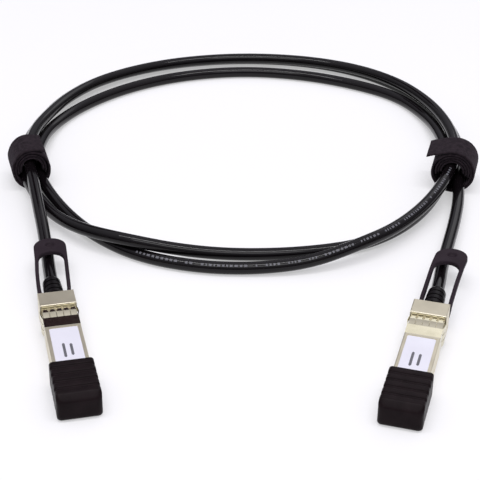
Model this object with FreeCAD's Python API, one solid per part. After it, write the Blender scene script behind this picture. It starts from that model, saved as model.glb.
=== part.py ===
import FreeCAD, Part
import math
import os

from FreeCAD import Placement, Rotation, Vector

# Direct attach copper cable: two small form-factor plugs joined by one black twinax cable, which lies
# on a table as a loose loop of two and a half turns held by two hook-and-loop ties.
# Millimetres. Z is up and the table is z = 0. Y runs from the plugs' noses back to the loop.
# Each plug is modelled in its own frame: x across, y back from the nose, z up from the table.

# Plug body, the part that goes into the cage
BODY_W = 13.4
BODY_H = 8.5
WALL = 1.1
FLOOR = 0.175 * BODY_H
COVER_T = 0.2 * BODY_H

# Rubber dust cap over the nose
CAP_SIDE = 1.25
CAP_SKIN = 1.0
CAP_FRONT = 1.4
CAP_FIT = 0.1
CAP_COVER = 20.4
CAP_ROUND = 1.2
CAP_CORNER = 2.2
CAP_BEVEL = 2.0
CAP_HEEL = 1.2
CAP_GROOVES = 3
CAP_GROOVE_PITCH = 5.0
CAP_GROOVE_W = 2.4
CAP_GROOVE_DEEP = 0.4
CAP_RIM = 2.4

# Spring collar round the body at the cage's mouth
SHEET = 0.2
SHEET_SEAT = 0.25
HOOP_Y = 44.1
HOOP_LEN = 6.2
FINGER_LEN = 6.0
FINGER_CREST = 0.6
FINGER_CREST_AT = 0.55
FINGER_TIP = 0.35
FINGER_GAP = 0.3
FINGER_NOTCH = 0.35
FINGER_NOTCH_LEN = 2.6
FINGERS_ACROSS = 5
FINGERS_UP = 3

# Rear block, outside the cage
BLOCK_W = 13.9
BLOCK_LEN = 9.2
BLOCK_TOP = 11.0
BLOCK_WALL = 1.05
BLOCK_FRONT = 1.0
REAR_WALL = 1.4
EDGE_ROUND = 0.4
COLLAR_GAP = 0.2

# Label in a shallow tray on the top cover
LABEL_W = 10.6
LABEL_T = 0.12
LABEL_LEN = 24.0
LABEL_EDGE = 1.5
LABEL_MARGIN = 0.25
TRAY_DEEP = 0.15
LABEL_ROUND = 0.8

# Paddle card, chip and the two twinax pairs inside
CARD_T = 1.0
CARD_Y0 = 1.0
CARD_LEN = 35.0
TONGUE_W = 9.2
TONGUE_LEN = 10.0
CARD_GAP = 0.1
LEDGE_W = 0.9
CHIP_SIZE = (3.0, 4.9, 0.9)
CHIP_Y = 20.0
POST_LEN = 3.0
POST_SETBACK = 3.0
PAIR_D = 0.22 * BODY_H
PAIR_SPACING = 2.4
PAIR_SEAT = 0.05
PAIR_OVERLAP = 3.0
PAIR_STRAIGHT = 7.0
PAIR_LANDING = 3.0

# Release slide under the body, its springs and the pull tab
SLIDE_T = 0.5
SLIDE_GAP = 0.15
SLIDE_W = 8.6
SLIDE_Y0 = 29.5
SLIDE_TRAVEL = 2.5
FORK_SLOT_W = 3.4
FORK_LEN = 7.5
RAMP_DROP = 0.7
RAMP_LEN = 2.1
RAMP_LIP = 0.6
RAMP_KNEE = 0.4
SLIDE_FLOAT = 0.1
SLIDE_FRONT_GAP = 0.4
SLIDE_LAP = 0.6
STOP_GAP = 0.2
MOVING_GAP = 0.3
EAR_SETBACK = 0.4
EAR_H = 1.2
EAR_INSET = 0.25
EAR_OUT = 3.0
BOSS_W = 2.6
BOSS_LEN = 3.3
BOSS_Y = 31.0
BOSS_DROP = 0.65
SPRING_R = 0.7
SPRING_WIRE = 0.22
SPRING_TURNS = 4
SPRING_POINTS = 12
SPRING_X = 4.15
SPRING_TAB_T = 0.5
SPRING_TAB_Y = 1.4
SPRING_SEAT = 0.05
TAB_LEN = 39.8
TAB_W = 13.0
TAB_ROOT_W = 12.0
TAB_ROOT_LEN = 13.0
TAB_ARM = 1.6
TAB_ARM_H = 2.6
TAB_HEAD_T = 2.0
TAB_HEAD_LEN = 11.5
TAB_HEAD_Z = 9.0
TAB_GAP = 0.6
DIMPLE_R = 2.2
DIMPLE_DEEP = 0.4

# Cable, its crimp ferrule and strain relief
CABLE_D = 5.3
FERRULE_T = 0.45
FERRULE_LEN = 4.6
FERRULE_LEAD = 0.6
CABLE_IN = 7.0
BOOT_NECK_R = 3.5
BOOT_NECK_FIT = 0.06
BOOT_FLANGE_R = 3.75
BOOT_FLANGE_T = 1.2
BOOT_BASE_R = 4.15
BOOT_END_R = 3.6
BOOT_LEN = 15.0
BOOT_RIBS = 5
BOOT_GROOVE_W = 0.9
BOOT_GROOVE_DEEP = 0.6
BOOT_LIP = 0.3

# Hook-and-loop ties
STRAP_T = 1.05
STRAP_GAP = 0.1
STRAP_W = 16.0
TIE_R = {"left": 6.7, "right": 7.9}
TIE_CENTRE_R = {"left": 98.3, "right": 99.45}
TIE_ANGLE = {"left": 196.0, "right": -14.0}
STRAP_HAND = {"left": -1, "right": 1}
STRAP_FLAP = {"left": 5.5, "right": 12.0}
STRAP_FLAP_DROP = {"left": 0.6, "right": 1.5}

# Where each plug lies: the cap's front centre on the table, and the turn of its axis from +Y
PLUG_AT = {"left": (-58.5, -49.9), "right": (51.3, -52.7)}
PLUG_TURN = {"left": 13.9, "right": -15.4}
TAB_YAW = {"left": -3.3, "right": -4.4}
TAB_ROLL = {"left": 0.0, "right": 7.0}

# Heights and lengths that follow from the sizes above
BODY_Z0 = CAP_SKIN + CAP_FIT
BODY_TOP = BODY_Z0 + BODY_H
AXIS_Z = BODY_Z0 + BODY_H / 2
SEAM_Z = BODY_TOP - COVER_T
FLOOR_Z = BODY_Z0 + FLOOR
CAVITY_W = BODY_W - 2 * WALL
BLOCK_Y0 = HOOP_Y + HOOP_LEN + FINGER_LEN + COLLAR_GAP
REAR_Y = BLOCK_Y0 + BLOCK_LEN
WELL_Y0 = BLOCK_Y0 + BLOCK_FRONT
WELL_Y1 = REAR_Y - REAR_WALL
WELL_W = BLOCK_W - 2 * BLOCK_WALL
SLIDE_Z = BODY_Z0 + SHEET_SEAT + SLIDE_FLOAT
SLIDE_SEAT_Z = SLIDE_Z + SLIDE_T + SLIDE_FLOAT
FERRULE_Y0 = REAR_Y - CABLE_IN - FERRULE_LEAD
SLIDE_OPEN_W = CABLE_D + 2 * (FERRULE_T + MOVING_GAP)
SLIDE_OPEN_Y0 = FERRULE_Y0 - SLIDE_TRAVEL - MOVING_GAP
CARD_Z = AXIS_Z - CARD_T / 2
CARD_W = CAVITY_W - 2 * CARD_GAP

# Cable route. The tail points lie between a plug and the loop.
TAIL_LEFT = [(-82.6, 51.6, 5.5), (-86.3, 68.6, 7.4), (-90.6, 85.6, 9.7), (-95.0, 104.1, 11.4)]
TAIL_RIGHT = [(93.3, 122.6, 6.3), (91.3, 102.6, 5.8), (86.9, 82.6, 5.3), (81.9, 63.6, 5.3), (77.3, 46.6, 5.3)]
# The loop's points in plan: angle about the loop's middle, distance from it, and height. The angle
# falls as the cable runs on, over the far side three times and the near side twice.
LOOP_MIDDLE = (-4.7, 150.6)
LOOP = [
    # Far side, leaning on the outermost strand
    (196, 98.8, 11.6), (179, 96.4, 10.3), (164, 95.8, 8.2), (149, 98.6, 6.6), (133, 101.8, 5.5),
    (114, 102.2, 5.3), (94, 103.0, 5.3), (75, 105.6, 5.4), (58, 107.8, 6.0), (42, 105.9, 7.4),
    (27, 102.2, 8.7), (12, 99.6, 10.0), (-3, 98.8, 11.3),
    # Near side, riding over the inner strand at the right and outermost in front
    (-18, 98.6, 11.6), (-35, 99.6, 9.9), (-50, 102.5, 8.7), (-62, 104.4, 8.4), (-74, 105.0, 4.4),
    (-87, 103.8, 2.7), (-100, 104.2, 2.7), (-114, 103.2, 2.7), (-128, 99.0, 2.7), (-141, 95.8, 3.0),
    (-153, 95.4, 5.4),
    # Far side, the innermost strand
    (-166, 95.0, 6.6), (-182, 92.9, 5.6), (-197, 93.2, 2.9), (-213, 91.2, 2.7), (-231, 90.0, 2.7),
    (-250, 90.2, 2.7), (-270, 91.7, 2.7), (-289, 93.6, 2.7), (-306, 96.9, 2.7), (-321, 101.2, 2.7),
    (-336, 99.0, 3.2), (-351, 95.6, 5.9),
    # Near side, the inner strand, humped over the outer one at the left
    (-367, 95.3, 6.9), (-383, 96.0, 5.0), (-400, 97.0, 2.7), (-417, 97.8, 2.7), (-433, 93.4, 2.7),
    (-450, 91.4, 2.9), (-464, 95.0, 5.6), (-476, 103.0, 9.1), (-489, 105.0, 7.6), (-501, 102.8, 4.9),
    (-512, 101.4, 5.4),
    # Far side, the outermost strand, down on the table
    (-524, 101.0, 6.6), (-541, 99.6, 5.2), (-556, 99.8, 3.4), (-571, 103.8, 2.7), (-587, 106.8, 2.7),
    (-606, 107.3, 2.7), (-626, 108.1, 2.7), (-645, 110.6, 2.7), (-662, 112.4, 2.7), (-678, 110.0, 2.9),
    (-693, 105.8, 3.6), (-708, 103.0, 5.0), (-722, 101.9, 6.2),
]
ARC_SHARE = 0.45


# Shapes in a plug's frame

def block(x0, x1, y0, y1, z0, z1):
    """A box between two corners."""
    return Part.makeBox(x1 - x0, y1 - y0, z1 - z0, Vector(x0, y0, z0))


def centred(width, y0, y1, z0, z1):
    """A box of a given width, centred on the plug's axis."""
    return block(-width / 2, width / 2, y0, y1, z0, z1)


def mirrored(shape):
    """The shape's twin on the other side of the plug's middle plane."""
    return shape.mirror(Vector(0, 0, 0), Vector(1, 0, 0))


def both_sides(shape):
    """A shape and its twin as a list."""
    return [shape, mirrored(shape)]


def side_prism(points, x0, x1):
    """A profile drawn in the y, z plane and drawn out across the plug."""
    corners = [Vector(x0, y, z) for y, z in points]
    face = Part.Face(Part.makePolygon(corners + corners[:1]))
    return face.extrude(Vector(x1 - x0, 0, 0))


def sleeve(width, z0, z1, y0, y1, thickness):
    """A rectangular tube of sheet round the body."""
    outer = centred(width, y0, y1, z0, z1)
    inner = centred(width - 2 * thickness, y0 - 1, y1 + 1, z0 + thickness, z1 - thickness)
    return outer.cut(inner)


def along_axis(radius, y0, y1):
    """A cylinder on the plug's cable axis."""
    return Part.makeCylinder(radius, y1 - y0, Vector(0, y0, AXIS_Z), Vector(0, 1, 0))


def long_edges(shape, test):
    """The straight edges of a shape whose middle point passes a test."""
    chosen = []
    for edge in shape.Edges:
        if isinstance(edge.Curve, Part.Line) and test(edge.CenterOfMass, edge.tangentAt(edge.FirstParameter)):
            chosen.append(edge)
    return chosen


def collar_seat():
    """What is taken off both halves of the body, so that the collar lies flush."""
    outer = centred(BODY_W + 1, HOOP_Y, BLOCK_Y0, BODY_Z0 - 1, BODY_TOP + 1)
    core = centred(BODY_W - 2 * SHEET_SEAT, HOOP_Y - 1, BLOCK_Y0 + 1, BODY_Z0 + SHEET_SEAT,
                   BODY_TOP - SHEET_SEAT)
    return outer.cut(core)


def ear_slots():
    """The two slots in the rear wall that the slide's ears come out of."""
    x1 = WELL_W / 2
    slot = block(x1 - SLIDE_T - 2 * EAR_INSET, x1, WELL_Y1 - 1, REAR_Y + 1,
                 AXIS_Z - EAR_H / 2 - EAR_INSET, AXIS_Z + EAR_H / 2 + EAR_INSET)
    return both_sides(slot)


def lower_housing():
    """Die-cast tray: floor, side walls, rear block's lower half, card ledges and latch boss."""
    body = centred(BODY_W, 0, BLOCK_Y0, BODY_Z0, SEAM_Z)
    rear = centred(BLOCK_W, BLOCK_Y0, REAR_Y, 0, AXIS_Z)
    rear = rear.makeFillet(EDGE_ROUND, long_edges(rear, lambda c, t: c.z < 0.01 and abs(t.y) > 0.9))
    solid = body.fuse(rear)
    cuts = [
        centred(CAVITY_W, -1, WELL_Y0 + 0.1, FLOOR_Z, SEAM_Z + 1),
        centred(WELL_W, WELL_Y0, WELL_Y1, BLOCK_WALL, AXIS_Z + 1),
        collar_seat(),
        centred(SLIDE_W + 2 * SLIDE_GAP, SLIDE_Y0 - SLIDE_TRAVEL, BLOCK_Y0, -1, SLIDE_SEAT_Z),
        centred(SLIDE_W + 2 * SLIDE_GAP, BLOCK_Y0 - 0.1, WELL_Y0 + 0.1, BLOCK_WALL, SLIDE_SEAT_Z),
        along_axis(BOOT_NECK_R + BOOT_NECK_FIT, WELL_Y1 - 1, REAR_Y + 1),
    ]
    solid = solid.cut(cuts + ear_slots())
    ledge = block(CAVITY_W / 2 - LEDGE_W, CAVITY_W / 2, CARD_Y0 + TONGUE_LEN, CARD_Y0 + CARD_LEN,
                  FLOOR_Z, CARD_Z)
    boss = side_prism([(BOSS_Y, SLIDE_SEAT_Z), (BOSS_Y, BODY_Z0), (BOSS_Y + BOSS_LEN * 0.7, BODY_Z0 - BOSS_DROP),
                       (BOSS_Y + BOSS_LEN, BODY_Z0 - BOSS_DROP), (BOSS_Y + BOSS_LEN, SLIDE_SEAT_Z)],
                      -BOSS_W / 2, BOSS_W / 2)
    return solid.fuse(both_sides(ledge) + [boss]).removeSplitter()


def top_cover():
    """Die-cast cover: flat lid with the label tray, and the rear block's upper half."""
    lid = centred(BODY_W, 0, BLOCK_Y0, SEAM_Z, BODY_TOP)
    lid = lid.makeFillet(EDGE_ROUND, long_edges(lid, lambda c, t: c.z > BODY_TOP - 0.01 and abs(t.y) > 0.9))
    rear = centred(BLOCK_W, BLOCK_Y0, REAR_Y, AXIS_Z, BLOCK_TOP)
    rear = rear.makeFillet(EDGE_ROUND, long_edges(rear, lambda c, t: c.z > BLOCK_TOP - 0.01))
    solid = lid.fuse(rear)
    label_y0 = HOOP_Y - LABEL_EDGE - LABEL_LEN
    cuts = [
        centred(CAVITY_W, BLOCK_Y0 - 0.1, WELL_Y0 + 0.1, AXIS_Z - 1, SEAM_Z),
        centred(WELL_W, WELL_Y0, WELL_Y1, AXIS_Z - 1, BLOCK_TOP - BLOCK_WALL),
        collar_seat(),
        centred(LABEL_W + 2 * LABEL_MARGIN, label_y0 - LABEL_MARGIN, HOOP_Y - LABEL_EDGE + LABEL_MARGIN,
                BODY_TOP - TRAY_DEEP, BODY_TOP + 1),
        along_axis(BOOT_NECK_R + BOOT_NECK_FIT, WELL_Y1 - 1, REAR_Y + 1),
    ]
    solid = solid.cut(cuts + ear_slots())
    posts = []
    for y in (CARD_Y0 + TONGUE_LEN + POST_SETBACK, CARD_Y0 + CARD_LEN - POST_SETBACK - POST_LEN):
        post = block(CARD_W / 2 - LEDGE_W, CARD_W / 2, y, y + POST_LEN, CARD_Z + CARD_T, SEAM_Z)
        posts += both_sides(post)
    return solid.fuse(posts).removeSplitter()


def spring_finger(width):
    """One bowed finger of the collar, on the top face, centred on x = 0."""
    y0 = HOOP_Y + HOOP_LEN - SHEET
    y1 = HOOP_Y + HOOP_LEN + FINGER_LEN
    crest_y = y0 + FINGER_CREST_AT * (y1 - y0)

    def bow(lift):
        z = BODY_TOP - SHEET + lift
        crest = Vector(0, crest_y, z + FINGER_CREST)
        return Part.Arc(Vector(0, y0, z), crest, Vector(0, y1, z + FINGER_TIP)).toShape()
    under = bow(0)
    over = bow(SHEET)
    ends = [Part.makeLine(under.Vertexes[k].Point, over.Vertexes[k].Point) for k in (0, 1)]
    face = Part.Face(Part.Wire(Part.__sortEdges__([under, over] + ends)))
    strip = face.extrude(Vector(width, 0, 0))
    strip.translate(Vector(-width / 2, 0, 0))
    notch = block(width / 2 - FINGER_NOTCH, width, y1 - FINGER_NOTCH_LEN, y1 + 1, BODY_TOP - 1, BODY_TOP + 2)
    return strip.cut(both_sides(notch))


def emi_collar():
    """Stainless spring collar: a hoop round the body and rows of bowed fingers behind it."""
    hoop = sleeve(BODY_W, BODY_Z0, BODY_TOP, HOOP_Y, HOOP_Y + HOOP_LEN, SHEET)
    fingers = []
    across = (BODY_W - 2 * SHEET) / FINGERS_ACROSS
    top = spring_finger(across - FINGER_GAP)
    for k in range(FINGERS_ACROSS):
        x = (k - (FINGERS_ACROSS - 1) / 2) * across
        upper = top.translated(Vector(x, 0, 0))
        lower = top.rotated(Vector(0, 0, AXIS_Z), Vector(0, 1, 0), 180).translated(Vector(x, 0, 0))
        fingers += [upper, lower]
    upright = (BODY_H - 2 * SHEET) / FINGERS_UP
    flank = spring_finger(upright - FINGER_GAP).translated(Vector(0, 0, BODY_W / 2 - BODY_H / 2))
    for k in range(FINGERS_UP):
        step = Vector(0, 0, (k - (FINGERS_UP - 1) / 2) * upright)
        for turn in (90, -90):
            fingers.append(flank.rotated(Vector(0, 0, AXIS_Z), Vector(0, 1, 0), turn).translated(step))
    return hoop.fuse(fingers).removeSplitter()


def label():
    """Plain paper label in the cover's tray."""
    y1 = HOOP_Y - LABEL_EDGE
    z0 = BODY_TOP - TRAY_DEEP
    sheet = centred(LABEL_W, y1 - LABEL_LEN, y1, z0, z0 + LABEL_T)
    corners = [e for e in sheet.Edges if abs(e.tangentAt(e.FirstParameter).z) > 0.9]
    return sheet.makeFillet(LABEL_ROUND, corners)


def paddle_card():
    """Printed circuit card with the contact tongue at the nose."""
    wide_y = CARD_Y0 + TONGUE_LEN
    card = centred(CARD_W, wide_y, CARD_Y0 + CARD_LEN, CARD_Z, CARD_Z + CARD_T)
    bevel = CARD_T * 0.3
    tongue = side_prism([(CARD_Y0, CARD_Z + bevel), (CARD_Y0 + bevel, CARD_Z), (wide_y, CARD_Z),
                         (wide_y, CARD_Z + CARD_T), (CARD_Y0 + bevel, CARD_Z + CARD_T),
                         (CARD_Y0, CARD_Z + CARD_T - bevel)], -TONGUE_W / 2, TONGUE_W / 2)
    return card.fuse(tongue).removeSplitter()


def memory_chip():
    """Small memory package soldered on the card."""
    long, wide, high = CHIP_SIZE[1], CHIP_SIZE[0], CHIP_SIZE[2]
    z0 = CARD_Z + CARD_T
    return centred(wide, CHIP_Y, CHIP_Y + long, z0, z0 + high)


def twinax_pairs():
    """The two shielded pairs, from the cable's end to the card's upper and lower faces."""
    pairs = []
    card_end = CARD_Y0 + CARD_LEN
    lift = CARD_T / 2 + PAIR_D / 2 + PAIR_SEAT
    for side in (-1, 1):
        x = side * PAIR_SPACING / 2
        start_y = REAR_Y - CABLE_IN
        route = [Vector(x, start_y, AXIS_Z), Vector(x, start_y - PAIR_STRAIGHT, AXIS_Z),
                 Vector(x * 1.5, card_end + PAIR_LANDING, AXIS_Z - side * lift),
                 Vector(x * 1.6, card_end - PAIR_OVERLAP, AXIS_Z - side * lift)]
        pairs.append(round_tube(route, PAIR_D)[0])
    return Part.makeCompound(pairs)


def crimp_ferrule():
    """Crimped sleeve on the end of the cable."""
    y0 = FERRULE_Y0
    outer = along_axis(CABLE_D / 2 + FERRULE_T, y0, y0 + FERRULE_LEN)
    outer = outer.makeChamfer(FERRULE_T * 0.4, [e for e in outer.Edges if isinstance(e.Curve, Part.Circle)])
    return outer.cut(along_axis(CABLE_D / 2, y0 - 1, y0 + FERRULE_LEN + 1))


def strain_relief():
    """Ribbed boot: an inner flange, a neck through the rear wall and a tapering ribbed sleeve."""
    bore = CABLE_D / 2
    flange_y = WELL_Y1 - BOOT_FLANGE_T
    outline = [(bore, flange_y), (BOOT_FLANGE_R, flange_y), (BOOT_FLANGE_R, WELL_Y1), (BOOT_NECK_R, WELL_Y1),
               (BOOT_NECK_R, REAR_Y)]
    pitch = BOOT_LEN / BOOT_RIBS
    for k in range(BOOT_RIBS):
        start = REAR_Y + k * pitch
        radius = BOOT_BASE_R + (BOOT_END_R - BOOT_BASE_R) * k / (BOOT_RIBS - 1)
        rib_end = start + pitch - BOOT_GROOVE_W
        outline += [(radius, start), (radius, rib_end)]
        if k < BOOT_RIBS - 1:
            outline += [(radius - BOOT_GROOVE_DEEP, rib_end), (radius - BOOT_GROOVE_DEEP, start + pitch)]
    outline += [(BOOT_END_R - BOOT_LIP, REAR_Y + BOOT_LEN), (bore, REAR_Y + BOOT_LEN)]
    points = [Vector(x, y, AXIS_Z) for x, y in outline]
    face = Part.Face(Part.makePolygon(points + points[:1]))
    return face.revolve(Vector(0, 0, AXIS_Z), Vector(0, 1, 0), 360)


def latch_slide():
    """Stamped release slide: forked plate with ramps, spring tabs and two ears out of the rear."""
    z0, z1 = SLIDE_Z, SLIDE_Z + SLIDE_T
    wide_y = WELL_Y0 + SLIDE_FRONT_GAP
    end_y = WELL_Y1 - SLIDE_TRAVEL - STOP_GAP
    ramp_end = SLIDE_Y0 + RAMP_LEN
    plate = centred(SLIDE_W, ramp_end, wide_y + SLIDE_LAP, z0, z1)
    fork = centred(FORK_SLOT_W, SLIDE_Y0 - 1, SLIDE_Y0 + FORK_LEN, z0 - 2, z1 + 1)
    low0, low1 = z0 - RAMP_DROP, z1 - RAMP_DROP
    ramp = side_prism([(ramp_end, z0), (SLIDE_Y0 + RAMP_LIP, low0), (SLIDE_Y0, low0), (SLIDE_Y0, low1),
                       (ramp_end - RAMP_KNEE, z1), (ramp_end, z1)], -SLIDE_W / 2, SLIDE_W / 2)
    opening = centred(SLIDE_OPEN_W, SLIDE_OPEN_Y0, end_y + 1, z0 - 1, z1 + 1)
    front = plate.fuse(ramp).cut([fork, opening])
    ear_x = WELL_W / 2 - EAR_INSET
    wide = centred(2 * ear_x, wide_y, end_y, z0, z1).cut(opening)
    ear_y = wide_y + EAR_SETBACK
    ear_top = AXIS_Z + EAR_H / 2
    upright = block(ear_x - SLIDE_T, ear_x, ear_y, end_y, z0, ear_top)
    tongue = block(ear_x - SLIDE_T, ear_x, ear_y, REAR_Y + EAR_OUT, AXIS_Z - EAR_H / 2, ear_top)
    push = block(SPRING_X - SPRING_R, SPRING_X + SPRING_R, spring_front() - SPRING_TAB_T, spring_front(),
                 z0, spring_z() + SPRING_R)
    return front.fuse([wide] + both_sides(upright) + both_sides(tongue) + both_sides(push)).removeSplitter()


def spring_z():
    """Height of the return springs' axes: just above the slide's plate."""
    return SLIDE_Z + SLIDE_T + SPRING_R + SPRING_WIRE


def spring_front():
    """Where the slide's tabs touch the springs."""
    return WELL_Y0 + SPRING_TAB_Y


def return_springs():
    """Two small springs against the rear wall, as short as the pulled slide's tabs press them."""
    seat = SPRING_SEAT + SPRING_WIRE / 2
    start = spring_front() + SLIDE_TRAVEL + seat
    pitch = (WELL_Y1 - seat - start) / SPRING_TURNS
    points = []
    for k in range(SPRING_TURNS * SPRING_POINTS + 1):
        angle = 2 * math.pi * k / SPRING_POINTS
        points.append(Vector(SPRING_X + SPRING_R * math.cos(angle), start + pitch * k / SPRING_POINTS,
                             spring_z() + SPRING_R * math.sin(angle)))
    return Part.makeCompound(both_sides(round_tube(points, SPRING_WIRE)[0]))


def waisted(half, y0, y1, z0, z1):
    """The pull tab's plan between its arms' roots and its head: a little narrower at the roots."""
    root = half - (TAB_W - TAB_ROOT_W) / 2
    full_y = y0 + TAB_ROOT_LEN
    row = [(-root, y0), (root, y0), (half, full_y), (half, y1), (-half, y1), (-half, full_y)]
    corners = [Vector(x, y, z0) for x, y in row]
    return Part.Face(Part.makePolygon(corners + corners[:1])).extrude(Vector(0, 0, z1 - z0))


def pull_tab(side):
    """Moulded pull tab: two arms rising from the slide's ears to a rounded head over the cable."""
    y0 = REAR_Y + TAB_GAP
    y1 = REAR_Y + TAB_LEN
    half = TAB_W / 2
    window = half - TAB_ARM
    turn_y = y1 - TAB_HEAD_LEN - window
    rise = TAB_HEAD_Z
    tall = rise + 2 * TAB_HEAD_T
    outer = waisted(half, y0, y1 - half, 0, tall).fuse(Part.makeCylinder(half, tall, Vector(0, y1 - half, 0)))
    inner = waisted(window, y0, turn_y, 0, tall).fuse(Part.makeCylinder(window, tall, Vector(0, turn_y, 0)))
    plan = outer.cut(inner)
    arm_low = AXIS_Z - TAB_ARM_H / 2
    bend_y = y0 + 0.1 * TAB_LEN
    slope_y = y0 + 0.4 * TAB_LEN
    beyond = 0.02 * TAB_LEN
    under = [(y0 - beyond, arm_low), (bend_y, arm_low), (slope_y, 0.42 * arm_low + 0.58 * rise),
             (y1 - TAB_HEAD_LEN, rise), (y1 + beyond, rise)]
    over = [(y, z + TAB_ARM_H + (TAB_HEAD_T - TAB_ARM_H) * max(0, z - arm_low) / (rise - arm_low))
            for y, z in under]
    curves = []
    for row in (under, over):
        curve = Part.BSplineCurve()
        curve.interpolate([Vector(-TAB_W, y, z) for y, z in row])
        curves.append(curve.toShape())
    ends = [Part.makeLine(curves[0].Vertexes[k].Point, curves[1].Vertexes[k].Point) for k in (0, 1)]
    profile = Part.Face(Part.Wire(Part.__sortEdges__(curves + ends))).extrude(Vector(2 * TAB_W, 0, 0))
    tab = plan.common(profile)
    dimple = Part.makeCylinder(DIMPLE_R, tall, Vector(0, y1 - 0.8 * half, rise + TAB_HEAD_T - DIMPLE_DEEP))
    tab = tab.cut(dimple)
    root = Vector(0, y0, AXIS_Z)
    tab.rotate(root, Vector(0, 1, 0), TAB_ROLL[side])
    tab.rotate(root, Vector(0, 0, 1), TAB_YAW[side])
    return tab.cut(latch_slide())


def dust_cap():
    """Soft rubber cap: bevelled front, rounded sides and cross grooves above and below."""
    half_w = BODY_W / 2 + CAP_FIT + CAP_SIDE
    top = BODY_TOP + CAP_FIT + CAP_SKIN
    y0 = -CAP_FIT - CAP_FRONT
    side_view = side_prism([(y0, CAP_HEEL), (y0 + CAP_HEEL, 0), (CAP_COVER, 0), (CAP_COVER, top),
                            (y0 + CAP_BEVEL, top), (y0, top - CAP_BEVEL)], -half_w, half_w)
    end_view = centred(2 * half_w, y0, CAP_COVER, 0, top)
    end_view = end_view.makeFillet(CAP_ROUND, long_edges(end_view, lambda c, t: abs(t.y) > 0.9))
    plan_view = centred(2 * half_w, y0, CAP_COVER, 0, top)
    corners = long_edges(plan_view, lambda c, t: c.y < y0 + 0.01 and abs(t.z) > 0.9)
    plan_view = plan_view.makeFillet(CAP_CORNER, corners)
    shell = side_view.common(end_view).common(plan_view)
    hollow = centred(BODY_W + 2 * CAP_FIT, -CAP_FIT, CAP_COVER + 1, CAP_SKIN, top - CAP_SKIN)
    cuts = [hollow]
    for k in range(CAP_GROOVES):
        y = CAP_COVER - CAP_RIM - CAP_GROOVE_W / 2 - k * CAP_GROOVE_PITCH
        sag = (CAP_GROOVE_W ** 2 / 4 + CAP_GROOVE_DEEP ** 2) / (2 * CAP_GROOVE_DEEP)
        for z in (top + sag - CAP_GROOVE_DEEP, CAP_GROOVE_DEEP - sag):
            cuts.append(Part.makeCylinder(sag, 2 * half_w + 2, Vector(-half_w - 1, y, z), Vector(1, 0, 0)))
    return shell.cut(cuts)


# The cable

def round_tube(points, diameter):
    """A tube of straight runs joined by tangent arcs. Returns the solid, its length and its radii."""
    edges = []
    radii = []
    start = points[0]
    for before, corner, after in zip(points, points[1:], points[2:]):
        back = before - corner
        ahead = after - corner
        cut = ARC_SHARE * min(back.Length, ahead.Length)
        turn = math.pi - back.getAngle(ahead)
        radius = cut / math.tan(turn / 2)
        radii.append(radius)
        back.normalize()
        ahead.normalize()
        bisector = back + ahead
        bisector.normalize()
        middle = corner + bisector * (math.hypot(cut, radius) - radius)
        arc_start = corner + back * cut
        arc_end = corner + ahead * cut
        edges.append(Part.LineSegment(start, arc_start).toShape())
        edges.append(Part.Arc(arc_start, middle, arc_end).toShape())
        start = arc_end
    edges.append(Part.LineSegment(start, points[-1]).toShape())
    path = Part.Wire(edges)
    section = Part.Wire(Part.makeCircle(diameter / 2, points[0], points[1] - points[0]))
    return path.makePipeShell([section], True, False), path.Length, radii


def cable_route():
    """Every point of the cable, from inside the left plug to inside the right one."""
    boot_end = REAR_Y + BOOT_LEN + CABLE_D / 2
    ends = {}
    for side in PLUG_AT:
        place = plug_place(side)
        inside = place.multVec(Vector(0, REAR_Y - CABLE_IN, AXIS_Z))
        outside = place.multVec(Vector(0, boot_end, AXIS_Z))
        ends[side] = [inside, outside]
    points = ends["left"] + [Vector(*p) for p in TAIL_LEFT]
    for k, (degrees, radius, z) in enumerate(LOOP):
        # The arcs pass inside the corners, so each corner stands out by what its neighbours' spread needs
        spread = math.radians(LOOP[max(k - 1, 0)][0] - LOOP[min(k + 1, len(LOOP) - 1)][0]) / 4
        reach = 2 * radius / (1 + math.cos(spread) ** 2)
        angle = math.radians(degrees)
        points.append(Vector(LOOP_MIDDLE[0] + reach * math.cos(angle),
                             LOOP_MIDDLE[1] + reach * math.sin(angle), z))
    return points + [Vector(*p) for p in TAIL_RIGHT] + ends["right"][::-1]


def plug_place(side):
    """Where a plug's own frame sits in the object's frame."""
    turn = Rotation(Vector(0, 0, 1), PLUG_TURN[side])
    nose = Vector(*PLUG_AT[side], 0) + turn.multVec(Vector(0, CAP_FIT + CAP_FRONT, 0))
    return Placement(nose, turn)


# The ties

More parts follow.
